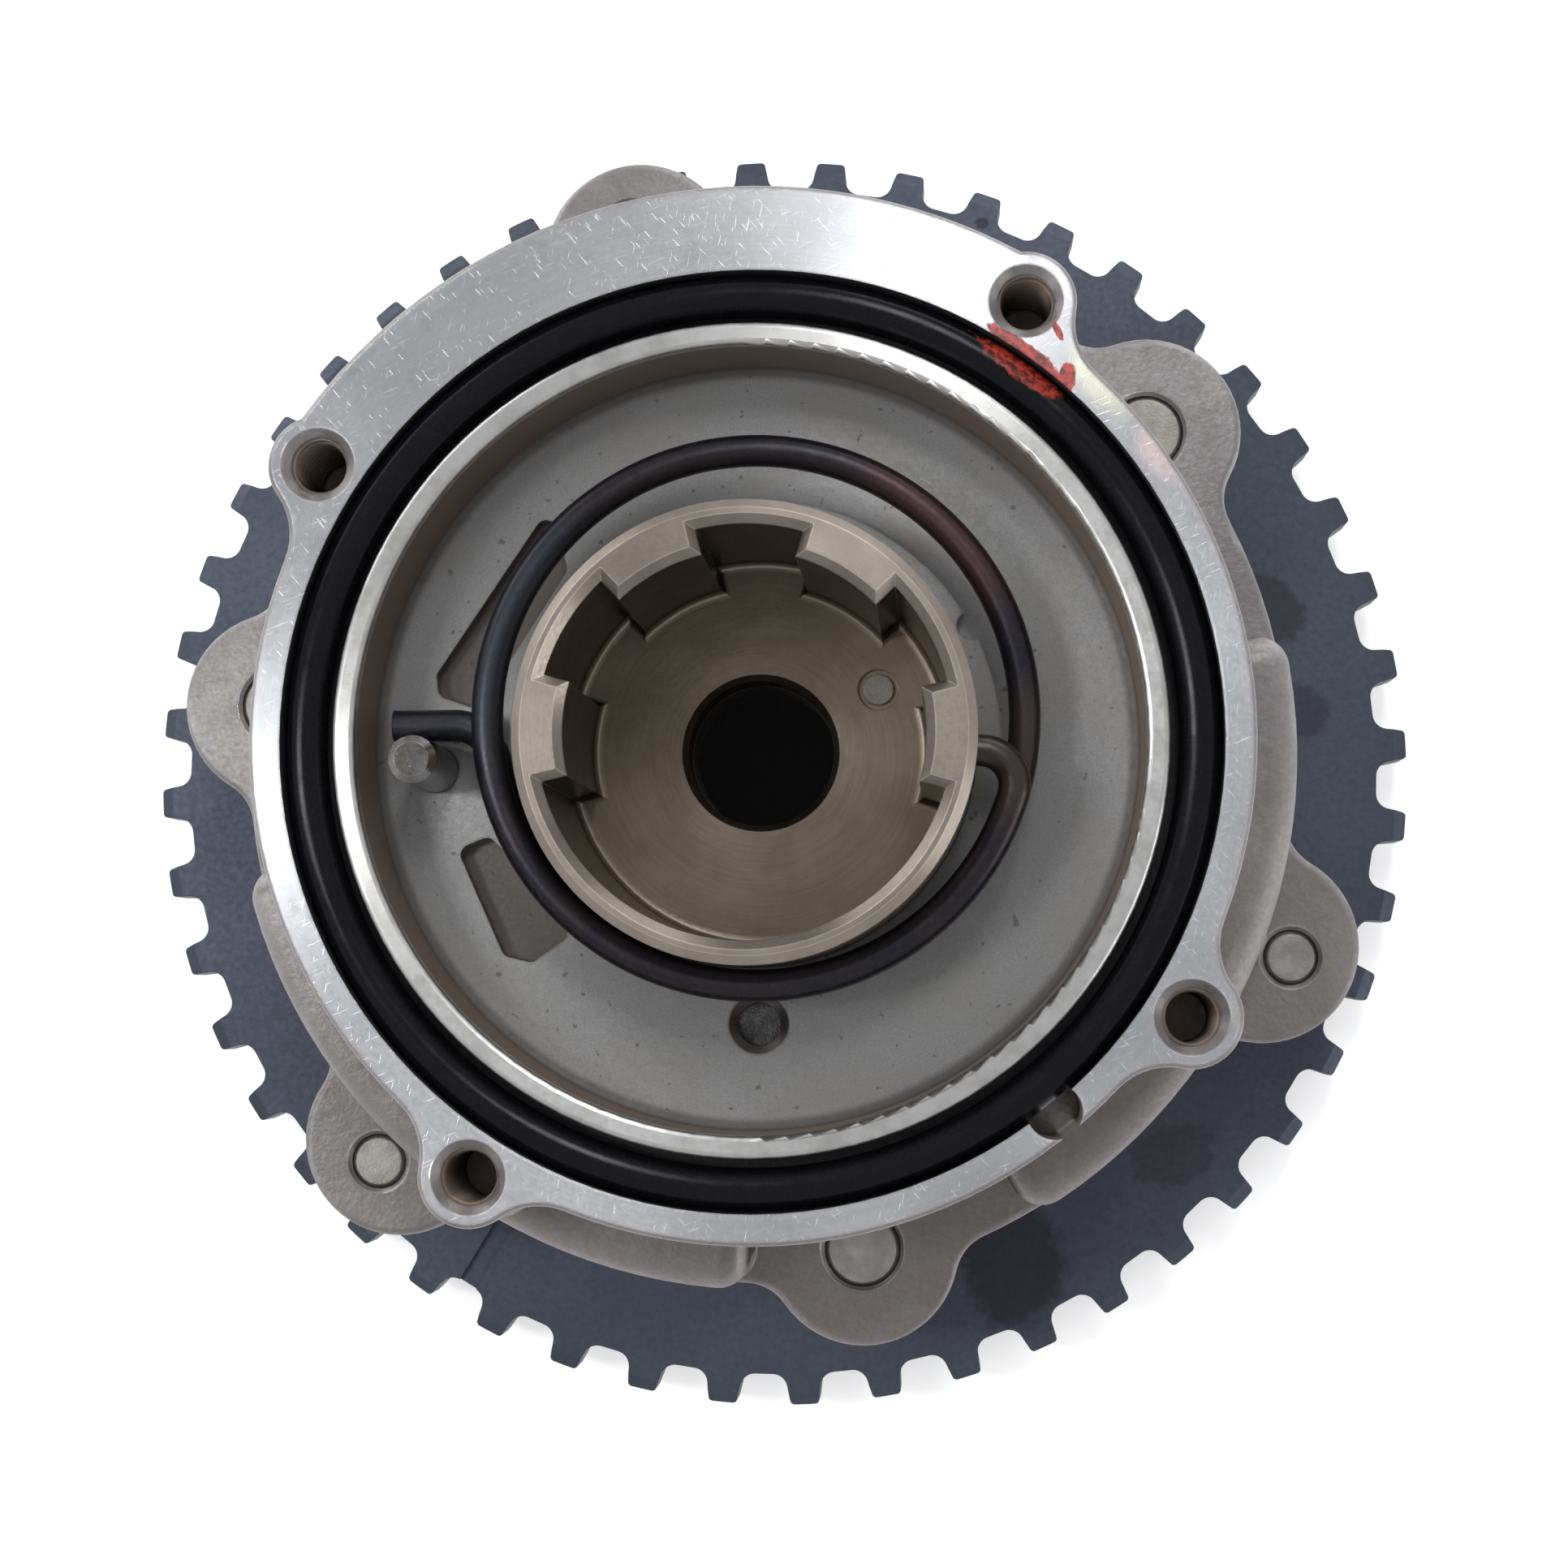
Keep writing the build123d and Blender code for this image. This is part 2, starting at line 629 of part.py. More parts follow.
def make_seal(name, angle, inner_r, outer_r, face_r, face_mode):
    """A seal strip whose running face is cut to a circle about the axis."""
    with BuildPart() as seal:
        with BuildSketch(Plane.XY.offset(rotor_rear)):
            add(radial_bar(inner_r, outer_r, angle, seal_width))
            Circle(face_r, mode=face_mode)
        extrude(amount=rotor_front - rotor_rear)
    save(seal, name)


def make_seal_spring(name, angle, seat_r, side):
    """A bowed leaf with its ends on the slot's bottom, at side 1 bowed outward and at side -1 inward."""
    middle_z = (rotor_rear + rotor_front) / 2
    half = seal_spring_length / 2
    near_r = seat_r + side * seat_gap
    far_r = near_r + side * seal_spring_thickness
    rise = side * seal_spring_rise
    with BuildPart() as leaf:
        with BuildSketch(Plane((0, 0, middle_z), (*polar(1, angle), 0), (*polar(1, angle - 90), 0))):
            with BuildLine():
                ThreePointArc((near_r, -half), (near_r + rise, 0), (near_r, half))
                Line((near_r, half), (far_r, half))
                ThreePointArc((far_r, half), (far_r + rise, 0), (far_r, -half))
                Line((far_r, -half), (near_r, -half))
            make_face()
        extrude(amount=seal_spring_width / 2, both=True)
    save(leaf, name)


# Seals and their leaf springs, in the vane tips and in the lobe tips
vane_face_r = chamber_r - running_gap
lobe_face_r = rotor_core_r + running_gap
for number, angle in enumerate(vane_centres, 1):
    make_seal(f"vane_seal_{number}", angle, vane_face_r - seal_height, chamber_r, vane_face_r, Mode.INTERSECT)
    make_seal_spring(f"vane_seal_spring_{number}", angle, vane_tip_r - seal_slot_depth, 1)
for number, angle in enumerate(lobe_centres, 1):
    make_seal(f"lobe_seal_{number}", angle, rotor_core_r, lobe_face_r + seal_height, lobe_face_r, Mode.SUBTRACT)
    make_seal_spring(f"lobe_seal_spring_{number}", angle, lobe_tip_r + seal_slot_depth, -1)

# Lock pin: stepped nose at the back, pocket for its spring at the front
with BuildPart() as lock_pin:
    with BuildSketch(Plane.XY.offset(lock_pin_rear)):
        with Locations(lock_spot):
            Circle(lock_nose_r)
    extrude(amount=lock_nose_length)
    chamfer(lock_pin.edges().group_by(Axis.Z)[0], lock_nose_chamfer)
    with BuildSketch(Plane.XY.offset(lock_pin_rear + lock_nose_length)):
        with Locations(lock_spot):
            Circle(lock_pin_r)
    extrude(amount=lock_pin_length - lock_nose_length)
    with BuildSketch(Plane.XY.offset(lock_pocket_z)):
        with Locations(lock_spot):
            Circle(lock_pocket_r)
    extrude(amount=lock_pocket_depth, mode=Mode.SUBTRACT)
save(lock_pin, "lock_pin")

# Spring of the lock pin
lock_spring_low = lock_pocket_z + lock_wire_r + seat_gap
lock_spring_height = lock_cap_rear - lock_wire_r - seat_gap - lock_spring_low
with BuildPart() as lock_spring:
    with BuildLine() as lock_wire_route:
        Helix(lock_spring_height / lock_coil_turns, lock_spring_height, lock_coil_r, (*lock_spot, lock_spring_low))
    with BuildSketch(Plane(origin=lock_wire_route.line @ 0, z_dir=lock_wire_route.line % 0)):
        Circle(lock_wire_r)
    sweep(path=lock_wire_route.wire(), is_frenet=True)
save(lock_spring, "lock_spring")

# Cap that holds the spring, with the stem that stops the pin
with BuildPart() as lock_cap:
    with BuildSketch(Plane.XY.offset(lock_cap_rear)):
        with Locations(lock_spot):
            Circle(lock_cap_r)
    extrude(amount=lock_cap_thickness)
    with BuildSketch(Plane.XY.offset(lock_pocket_z + lock_travel + lock_stop_gap)):
        with Locations(lock_spot):
            Circle(lock_stop_r)
    extrude(until=Until.NEXT)
    with BuildSketch(Plane.XY.offset(lock_cap_front)):
        with Locations(lock_spot):
            Circle(lock_vent_r)
    extrude(amount=-lock_cap_front, mode=Mode.SUBTRACT)
save(lock_cap, "lock_cap")

# Hardened bush in the sprocket plate that the nose of the lock pin drops into
with BuildPart() as lock_bush:
    with BuildSketch(Plane.XY.offset(plate_thickness)):
        with Locations(lock_spot):
            Circle(lock_bush_r)
            Circle(lock_nose_r + lock_bush_gap, mode=Mode.SUBTRACT)
    extrude(amount=-lock_bush_depth)
save(lock_bush, "lock_bush")
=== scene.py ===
import math

import bpy
from mathutils import Matrix, Vector


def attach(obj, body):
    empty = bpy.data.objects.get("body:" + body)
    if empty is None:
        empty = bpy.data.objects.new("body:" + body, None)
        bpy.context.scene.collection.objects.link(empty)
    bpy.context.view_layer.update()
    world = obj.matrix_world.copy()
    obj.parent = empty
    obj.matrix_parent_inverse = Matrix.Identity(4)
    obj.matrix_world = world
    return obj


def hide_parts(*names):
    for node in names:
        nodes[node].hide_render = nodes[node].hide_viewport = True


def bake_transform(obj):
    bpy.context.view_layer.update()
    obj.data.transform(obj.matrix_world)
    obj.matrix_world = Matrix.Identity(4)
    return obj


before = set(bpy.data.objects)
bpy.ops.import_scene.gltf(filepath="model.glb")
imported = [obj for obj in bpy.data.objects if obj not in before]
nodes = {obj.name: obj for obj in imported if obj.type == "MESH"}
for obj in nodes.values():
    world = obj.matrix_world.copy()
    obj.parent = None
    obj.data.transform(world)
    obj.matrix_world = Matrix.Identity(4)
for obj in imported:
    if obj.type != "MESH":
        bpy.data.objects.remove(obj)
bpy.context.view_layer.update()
scene = bpy.context.scene
MM = 0.001

# Sizes of the part, in millimetres
FLANGE_TOP = 51.5
RECESS_FLOOR = 42.0
NECK_TOP = 44.2
RIM_INNER_R = 34.35
RIM_OUTER_R = 36.3
GROOVE_OUTER_R = 41.05
ROTOR_FRONT = 32.95
HUB_FLOOR = 34.4
HUB_TOP = 58.3
HUB_CHAMFER_R = 18.5
COVER_BOLT_R = 45.0
COVER_BOLT_ANGLES = [57.5, 147.5, 237.5, 327.5]
TAP_R = 2.5
TAP_DEPTH = 14.5
TAP_CHAMFER = 1.1
THREAD_PITCH = 1.0
THREAD_DEPTH = 0.32
THREAD_SINK = 0.04
COIL_CENTRE = (0.45, 2.0)

# Camera, solved from the circles of the photograph: place in millimetres, axes and lens
CAMERA_PLACE = (17.45, -22.49, 309.83)
CAMERA_RIGHT = (0.99846, 0.0, -0.05549)
CAMERA_UP = (0.00393, 0.99749, 0.07076)
CAMERA_BACK = (0.05535, -0.0709, 0.99595)
SENSOR_WIDTH = 36
LENS = 68.94

# Windows: azimuth and elevation in degrees, distance and size in metres, strength in watts
LAMPS = {
    "window_top": (78, 58, 0.85, (0.12, 0.32), 1.5),
    "window_left": (178, 56, 0.85, (0.12, 0.32), 1.8),
    "window_low_left": (138, 10, 0.80, (0.50, 0.20), 1.3),
    "window_low_top": (70, 14, 0.85, (0.40, 0.20), 0.9),
    "window_low_right": (-20, 12, 0.85, (0.40, 0.20), 1.0),
}
LAMP_TARGET = Vector((0, 0, 0.04))
HORIZON = (0.66, 0.67, 0.69, 1)
ZENITH = (0.62, 0.62, 0.63, 1)

# Floor: white, with painted shade under the part, and lifted outside it
FLOOR_SIZE = 6.0
FLOOR_DROP = 0.00005
FLOOR_WHITE = (0.93, 0.93, 0.93, 1)
FLOOR_PAINTED_SHADE = (0.10, 0.10, 0.10, 1)
FLOOR_LIFT = 0.45
LIFT_START = 0.040
LIFT_END = 0.060
WHITE_END = 0.055

# Oil stains on the sprocket: depth, then a spot as in Graph.spot
OIL_STAINS = [
    (0.70, (23.6, -49.0, 5.2, 6.2, 0, 0.45, 0.45)),
    (0.6, (50.0, 16.5, 2.6, 4.2, 30, 0.5, 0.7)),
    (0.5, (52.0, 6.0, 3.4, 3.0, 0, 0.55, 0.6)),
    (0.4, (39.5, -38.0, 4.5, 3.2, 20, 0.5, 0.6)),
    (0.8, (20.9, 56.2, 0.7, 0.6, 0, 0.3, 1.5)),
]

# Red paint, as spots: over the flange, over the seal, and the films beside it
FLANGE_PAINT = [
    (24.2, 33.2, 5.0, 1.0, -38, 0.45, 0.9),
    (27.6, 31.0, 0.9, 1.7, -12, 0.30, 1.2),
    (26.9, 35.3, 0.35, 1.1, 25, 0.3, 1.4),
    (22.4, 34.9, 2.0, 0.4, -30, 0.5, 1.4),
]
SEAL_PAINT = (23.6, 32.2, 5.2, 1.25, -38, 0.55, 1.0)
YELLOW_FILM = (30.6, 31.4, 2.2, 4.4, 30, 0.3, 0.5)
RED_FILM = (35.6, 24.6, 1.8, 3.0, 30, 0.3, 0.5)


def polar(radius, angle):
    return radius * math.cos(math.radians(angle)), radius * math.sin(math.radians(angle))


# Camera, light and floor

def make_camera():
    camera = bpy.data.objects.new("camera", bpy.data.cameras.new("camera"))
    scene.collection.objects.link(camera)
    turn = Matrix([Vector(axis) for axis in (CAMERA_RIGHT, CAMERA_UP, CAMERA_BACK)]).transposed()
    camera.matrix_world = Matrix.Translation(Vector(CAMERA_PLACE) * MM) @ turn.to_4x4()
    camera.data.sensor_width = SENSOR_WIDTH
    camera.data.lens = LENS
    camera.data.clip_start = 0.01
    camera.data.clip_end = 20
    scene.camera = camera


def area_light(name, azimuth, elevation, distance, size, strength):
    """A window at an azimuth and an elevation, turned towards the part."""
    data = bpy.data.lights.new(name, "AREA")
    data.shape = "RECTANGLE"
    data.size, data.size_y = size
    data.energy = strength
    light = bpy.data.objects.new(name, data)
    scene.collection.objects.link(light)
    a, e = math.radians(azimuth), math.radians(elevation)
    away = Vector((math.cos(a) * math.cos(e), math.sin(a) * math.cos(e), math.sin(e)))
    light.location = away * distance + LAMP_TARGET
    light.rotation_mode = "QUATERNION"
    light.rotation_quaternion = away.to_track_quat("Z", "Y")


def make_world():
    """A pale room that is a little darker overhead than round the horizon."""
    world = bpy.data.worlds.new("studio")
    scene.world = world
    world.use_nodes = True
    tree = world.node_tree
    sky = tree.nodes["Background"]
    coords = tree.nodes.new("ShaderNodeTexCoord")
    split = tree.nodes.new("ShaderNodeSeparateXYZ")
    ramp = tree.nodes.new("ShaderNodeValToRGB")
    tree.links.new(coords.outputs["Generated"], split.inputs[0])
    tree.links.new(split.outputs["Z"], ramp.inputs[0])
    for element, position, colour in zip(ramp.color_ramp.elements, (0.0, 1.0), (HORIZON, ZENITH)):
        element.position = position
        element.color = colour
    tree.links.new(ramp.outputs[0], sky.inputs["Color"])
    sky.inputs["Strength"].default_value = 1.0


def map_range(tree, value, numbers, interpolation="LINEAR"):
    """A Map Range node: from low and high to a start and an end."""
    made = tree.nodes.new("ShaderNodeMapRange")
    made.interpolation_type = interpolation
    tree.links.new(value, made.inputs[0])
    for socket, number in zip(made.inputs[1:5], numbers):
        socket.default_value = number
    return made.outputs[0]


def join(tree, operation, a, b):
    made = tree.nodes.new("ShaderNodeMath")
    made.operation = operation
    tree.links.new(a, made.inputs[0])
    tree.links.new(b, made.inputs[1])
    return made.outputs[0]


def floor_material():
    """White that the camera and reflections see lifted round the part. Its shadow stays."""
    material = bpy.data.materials.new("floor_white")
    material.use_nodes = True
    tree = material.node_tree
    shader = tree.nodes["Principled BSDF"]
    shader.inputs["Roughness"].default_value = 0.9
    shader.inputs["Specular IOR Level"].default_value = 0.1
    shader.inputs["Emission Color"].default_value = (1, 1, 1, 1)
    path = tree.nodes.new("ShaderNodeLightPath")
    seen = path.outputs["Is Camera Ray"]
    for kind in ("Is Glossy Ray", "Is Transmission Ray"):
        seen = join(tree, "MAXIMUM", seen, path.outputs[kind])
    coords = tree.nodes.new("ShaderNodeTexCoord")
    far = tree.nodes.new("ShaderNodeVectorMath")
    far.operation = "LENGTH"
    tree.links.new(coords.outputs["Object"], far.inputs[0])
    lift = map_range(tree, far.outputs["Value"], (LIFT_START, LIFT_END, 0.0, FLOOR_LIFT), "SMOOTHSTEP")
    # Painted shade: the floor's colour darkens under the part and turns white further out
    under = map_range(tree, far.outputs["Value"], (LIFT_START, WHITE_END, 0.0, 1.0))
    tone = tree.nodes.new("ShaderNodeMix")
    tone.data_type = "RGBA"
    tree.links.new(under, tone.inputs[0])
    tone.inputs[6].default_value = FLOOR_PAINTED_SHADE
    tone.inputs[7].default_value = FLOOR_WHITE
    tree.links.new(tone.outputs[2], shader.inputs["Base Color"])
    tree.links.new(join(tree, "MULTIPLY", seen, lift), shader.inputs["Emission Strength"])
    return material


def make_floor():
    mesh = bpy.data.meshes.new("floor")
    signs = [(-1, -1), (1, -1), (1, 1), (-1, 1)]
    mesh.from_pydata([(FLOOR_SIZE * a, FLOOR_SIZE * b, 0) for a, b in signs], [], [(0, 1, 2, 3)])
    mesh.materials.append(floor_material())
    floor = bpy.data.objects.new("floor", mesh)
    scene.collection.objects.link(floor)
    floor.location.z = -FLOOR_DROP


# Material graphs

class Graph:
    """A Principled material fed by small helper calls, in millimetres of the object's own frame."""

    def __init__(self, name, metallic=0.0, roughness=0.5, anisotropic=0.0, specular=0.5, edge=0.25):
        self.material = bpy.data.materials.new(name)
        self.material.use_nodes = True
        self.tree = self.material.node_tree
        self.shader = self.tree.nodes["Principled BSDF"]
        self.shader.inputs["Metallic"].default_value = metallic
        self.shader.inputs["Roughness"].default_value = roughness
        self.shader.inputs["Anisotropic"].default_value = anisotropic
        self.shader.inputs["Specular IOR Level"].default_value = specular
        coords = self.add("ShaderNodeTexCoord")
        scaled = self.add("ShaderNodeVectorMath", operation="SCALE")
        self.put(scaled.inputs[0], coords.outputs["Object"])
        scaled.inputs["Scale"].default_value = 1000
        self.place = scaled.outputs[0]
        split = self.add("ShaderNodeSeparateXYZ")
        self.put(split.inputs[0], self.place)
        self.x, self.y, self.z = split.outputs
        normals = self.add("ShaderNodeSeparateXYZ")
        self.put(normals.inputs[0], coords.outputs["Normal"])
        self.up = normals.outputs[2]
        self.r, self.angle = self.round_point(0, 0)
        bevel = self.add("ShaderNodeBevel", samples=2)
        bevel.inputs["Radius"].default_value = edge * MM
        self.rounded = bevel.outputs[0]

    def add(self, kind, **settings):
        made = self.tree.nodes.new(kind)
        for name, value in settings.items():
            setattr(made, name, value)
        return made

    def put(self, socket, value):
        if isinstance(value, bpy.types.NodeSocket):
            self.tree.links.new(value, socket)
        else:
            socket.default_value = value

    def math(self, operation, a, b=0.0):
        made = self.add("ShaderNodeMath", operation=operation)
        self.put(made.inputs[0], a)
        self.put(made.inputs[1], b)
        return made.outputs[0]

    def join(self, operation, values):
        total = values[0]
        for value in values[1:]:
            total = self.math(operation, total, value)
        return total

    def plus(self, *values):
        return self.join("ADD", values)

    def times(self, *values):
        return self.join("MULTIPLY", values)

    def most(self, *values):
        return self.join("MAXIMUM", values)

    def rest(self, value):
        return self.math("SUBTRACT", 1.0, value)

    def length(self, a, b):
        return self.math("SQRT", self.plus(self.times(a, a), self.times(b, b)))

    def round_point(self, x, y):
        """Distance from an upright axis, and the angle about it in degrees from -180 to 180."""
        dx = self.math("SUBTRACT", self.x, x)
        dy = self.math("SUBTRACT", self.y, y)
        return self.length(dx, dy), self.math("DEGREES", self.math("ARCTAN2", dy, dx))

    def vector(self, x, y, z):
        made = self.add("ShaderNodeCombineXYZ")
        for socket, value in zip(made.inputs, (x, y, z)):
            self.put(socket, value)
        return made.outputs[0]

    def step(self, value, low, high, start=0.0, end=1.0):
        """Smoothly from start at low to end at high."""
        made = self.add("ShaderNodeMapRange", interpolation_type="SMOOTHSTEP", clamp=True)
        self.put(made.inputs[0], value)
        for socket, number in zip(made.inputs[1:5], (low, high, start, end)):
            self.put(socket, number)
        return made.outputs[0]

    def band(self, value, low, high, soft):
        """1 between low and high, with soft ends."""
        rise = self.step(value, low - soft, low + soft)
        return self.times(rise, self.step(value, high - soft, high + soft, 1, 0))

    def sector(self, angle, middle, half, soft):
        """1 within half degrees of a middle angle, about the axis that the angle belongs to."""
        away = self.math("SUBTRACT", angle, middle)
        wrap = self.add("ShaderNodeMath", operation="WRAP")
        for socket, value in zip(wrap.inputs, (away, 180.0, -180.0)):
            self.put(socket, value)
        return self.step(self.math("ABSOLUTE", wrap.outputs[0]), half - soft, half + soft, 1, 0)

    def noise(self, scale, detail=3.0, rough=0.5, place=None):
        made = self.add("ShaderNodeTexNoise")
        self.put(made.inputs["Vector"], self.place if place is None else place)
        made.inputs["Scale"].default_value = scale
        made.inputs["Detail"].default_value = detail
        made.inputs["Roughness"].default_value = rough
        return made.outputs[0]

    def rings(self, fineness):
        """Fine turning marks: noise that is drawn out round the axis."""
        drift = self.times(self.noise(0.05, 1), 0.3)
        across = self.times(self.plus(self.r, drift), fineness)
        place = self.vector(across, self.times(self.angle, 0.03), self.times(self.z, fineness * 0.3))
        return self.noise(1.0, 2, 0.6, place)

    def along_across(self, dx, dy, turn):
        """Two lengths turned by an angle in degrees."""
        c, s = math.cos(math.radians(turn)), math.sin(math.radians(turn))
        along = self.plus(self.times(dx, c), self.times(dy, s))
        return along, self.plus(self.times(dx, -s), self.times(dy, c))

    def scratches(self, turn, fineness, length, low, high):
        """Short straight scratches in one direction: 1 on the lines."""
        along, across = self.along_across(self.x, self.y, turn)
        place = self.vector(self.times(along, 1 / length), self.times(across, fineness), 0.0)
        return self.step(self.noise(1.0, 1, 0.5, place), low, high)

    def spot(self, x, y, reach_x, reach_y, turn=0.0, ragged=0.35, scale=0.6):
        """Distance from a spot, 1 at the edge of its ellipse, broken up by noise."""
        dx = self.math("SUBTRACT", self.x, x)
        dy = self.math("SUBTRACT", self.y, y)
        along, across = self.along_across(dx, dy, turn)
        far = self.length(self.times(along, 1 / reach_x), self.times(across, 1 / reach_y))
        wobble = self.math("SUBTRACT", self.noise(scale, 5, 0.65), 0.5)
        return self.plus(far, self.times(wobble, ragged * 2))

    def mix(self, factor, a, b):
        made = self.add("ShaderNodeMix", data_type="RGBA")
        self.put(made.inputs[0], factor)
        for socket, value in ((made.inputs[6], a), (made.inputs[7], b)):
            self.put(socket, (*value, 1) if isinstance(value, tuple) else value)
        return made.outputs[2]

    def bump(self, height, distance, plain=None):
        """Bump from a height of 0 to 1 that stands for distance in millimetres, on softened corners.

        Where plain is 1 the corners keep the shape of the mesh.
        """
        normal = self.rounded
        if plain is not None:
            mixed = self.add("ShaderNodeMix", data_type="VECTOR")
            self.put(mixed.inputs[0], plain)
            self.put(mixed.inputs[4], self.rounded)
            self.put(mixed.inputs[5], self.add("ShaderNodeNewGeometry").outputs["Normal"])
            normal = mixed.outputs[1]
        made = self.add("ShaderNodeBump")
        made.inputs["Strength"].default_value = 1.0
        made.inputs["Distance"].default_value = distance * MM
        self.put(made.inputs["Height"], height)
        self.put(made.inputs["Normal"], normal)
        self.put(self.shader.inputs["Normal"], made.outputs[0])

    def edges(self, low=0.02, high=0.25):
        """1 on corners, from the difference between the rounded and the real normal."""
        geometry = self.add("ShaderNodeNewGeometry")
        dot = self.add("ShaderNodeVectorMath", operation="DOT_PRODUCT")
        self.put(dot.inputs[0], self.rounded)
        self.put(dot.inputs[1], geometry.outputs["Normal"])
        return self.step(self.rest(dot.outputs["Value"]), low, high)

    def turned(self):
        """Tangent across the turning marks, which draws reflections out across them."""
        around = self.vector(self.times(self.y, -1), self.x, 0.01)
        moved = self.add("ShaderNodeVectorTransform", vector_type="VECTOR")
        moved.convert_from = "OBJECT"
        moved.convert_to = "WORLD"
        self.put(moved.inputs[0], around)
        crossed = self.add("ShaderNodeVectorMath", operation="CROSS_PRODUCT")
        self.put(crossed.inputs[0], moved.outputs[0])
        self.put(crossed.inputs[1], self.add("ShaderNodeNewGeometry").outputs["Normal"])
        unit = self.add("ShaderNodeVectorMath", operation="NORMALIZE")
        self.put(unit.inputs[0], crossed.outputs[0])
        self.put(self.shader.inputs["Tangent"], unit.outputs[0])


def sprocket_material():
    g = Graph("sprocket_blue_black", metallic=0.8, roughness=0.45, edge=0.22)
    fine = g.noise(1.6, 4, 0.6)
    colour = g.mix(g.step(g.noise(0.06, 4, 0.55), 0.3, 0.7), (0.060, 0.068, 0.092), (0.078, 0.088, 0.118))
    colour = g.mix(g.step(fine, 0.3, 0.75, 0, 0.4), colour, (0.050, 0.056, 0.073))
    wet = g.most(*[g.step(g.spot(*place), 0.75, 1.15, depth, 0) for depth, place in OIL_STAINS])
    colour = g.mix(wet, colour, (0.020, 0.021, 0.025))
    # Edges lightened in broken patches: partly edge wear, partly a painted highlight on the rounded edges
    edge_wear_and_highlight = g.step(g.noise(0.9, 4, 0.6), 0.35, 0.65, 0.1, 0.7)
    colour = g.mix(g.times(g.edges(), edge_wear_and_highlight), colour, (0.19, 0.19, 0.20))
    # Painted shade: faces that do not look up are darkened
    flank_shade = g.step(g.up, 0.2, 0.5, 1, 0)
    colour = g.mix(g.times(flank_shade, 0.5), colour, (0.045, 0.045, 0.052))
    g.put(g.shader.inputs["Base Color"], colour)
    rough = g.plus(g.step(fine, 0.2, 0.8, 0.42, 0.56), g.times(wet, -0.14))
    g.put(g.shader.inputs["Roughness"], rough)
    g.bump(g.plus(g.times(g.noise(5.0, 3, 0.6), 0.6), g.times(fine, 0.4)), 0.02)
    return g.material


def cast_skin(g, fine, patch, side_shade):
    """Warm grey cast skin, darker towards the bottom of the picture, with painted shade on its side faces.
    """
    cast = g.mix(g.step(g.noise(0.09, 4, 0.55), 0.3, 0.7), (0.31, 0.298, 0.298), (0.385, 0.372, 0.372))
    cast = g.mix(g.step(patch, 0.45, 0.75, 0, 0.5), cast, (0.25, 0.23, 0.215))
    cast = g.mix(g.step(fine, 0.35, 0.75, 0, 0.3), cast, (0.24, 0.22, 0.21))
    away = g.plus(g.times(g.y, -1), g.times(g.x, 0.2))
    cast = g.mix(g.step(away, -10, 55, 0, 0.55), cast, (0.22, 0.19, 0.175))
    # Painted shade on the faces that do not look up
    return g.mix(g.times(side_shade, 0.35), cast, (0.18, 0.16, 0.15))


def cut_face(g, marks, smudge):
    """Machined aluminium: cool grey with turning marks, short scratches and a few smudges."""
    cut = g.mix(g.step(g.noise(0.09, 4, 0.55), 0.3, 0.7), (0.46, 0.47, 0.49), (0.56, 0.57, 0.59))
    cut = g.mix(g.step(g.rings(5.0), 0.25, 0.8, 0.0, 0.25), cut, (0.35, 0.36, 0.38))
    cut = g.mix(g.times(marks, 0.5), cut, (0.82, 0.83, 0.85))
    return g.mix(smudge, cut, (0.30, 0.295, 0.30))


def recess_ground(g):
    """Even grey floor of the recess, with dark specks, painted shade in a line round its edge and painted
    shade in the pockets.
    """
    ground = g.mix(g.step(g.noise(5.0, 2, 0.5), 0.3, 0.7), (0.335, 0.335, 0.335), (0.39, 0.39, 0.39))
    ground = g.mix(g.step(g.noise(0.12, 3), 0.35, 0.7, 0, 0.4), ground, (0.32, 0.315, 0.295))
    ground = g.mix(g.step(g.noise(1.1, 2, 0.4), 0.70, 0.74, 0, 0.5), ground, (0.10, 0.095, 0.085))
    # Painted shade along the foot of the recess wall
    ground = g.mix(g.step(g.r, RIM_INNER_R - 1.35, RIM_INNER_R - 0.45, 0, 0.7), ground, (0.09, 0.08, 0.07))
    # Painted shade: the pockets below the floor are darkened
    sunk = g.step(g.z, RECESS_FLOOR - 0.2, RECESS_FLOOR - 0.02, 1, 0)
    return g.mix(g.times(sunk, 0.75), ground, (0.120, 0.100, 0.088))


def tapped_holes(g):
    """1 inside the four tapped holes of the flange, below their chamfers."""
    reach = [g.round_point(*polar(COVER_BOLT_R, angle))[0] for angle in COVER_BOLT_ANGLES]
    near = g.most(*[g.step(far, TAP_R + 0.15, TAP_R + 0.35, 1, 0) for far in reach])
    return g.times(near, g.step(g.z, FLANGE_TOP - 1.0, FLANGE_TOP - 0.7, 1, 0))


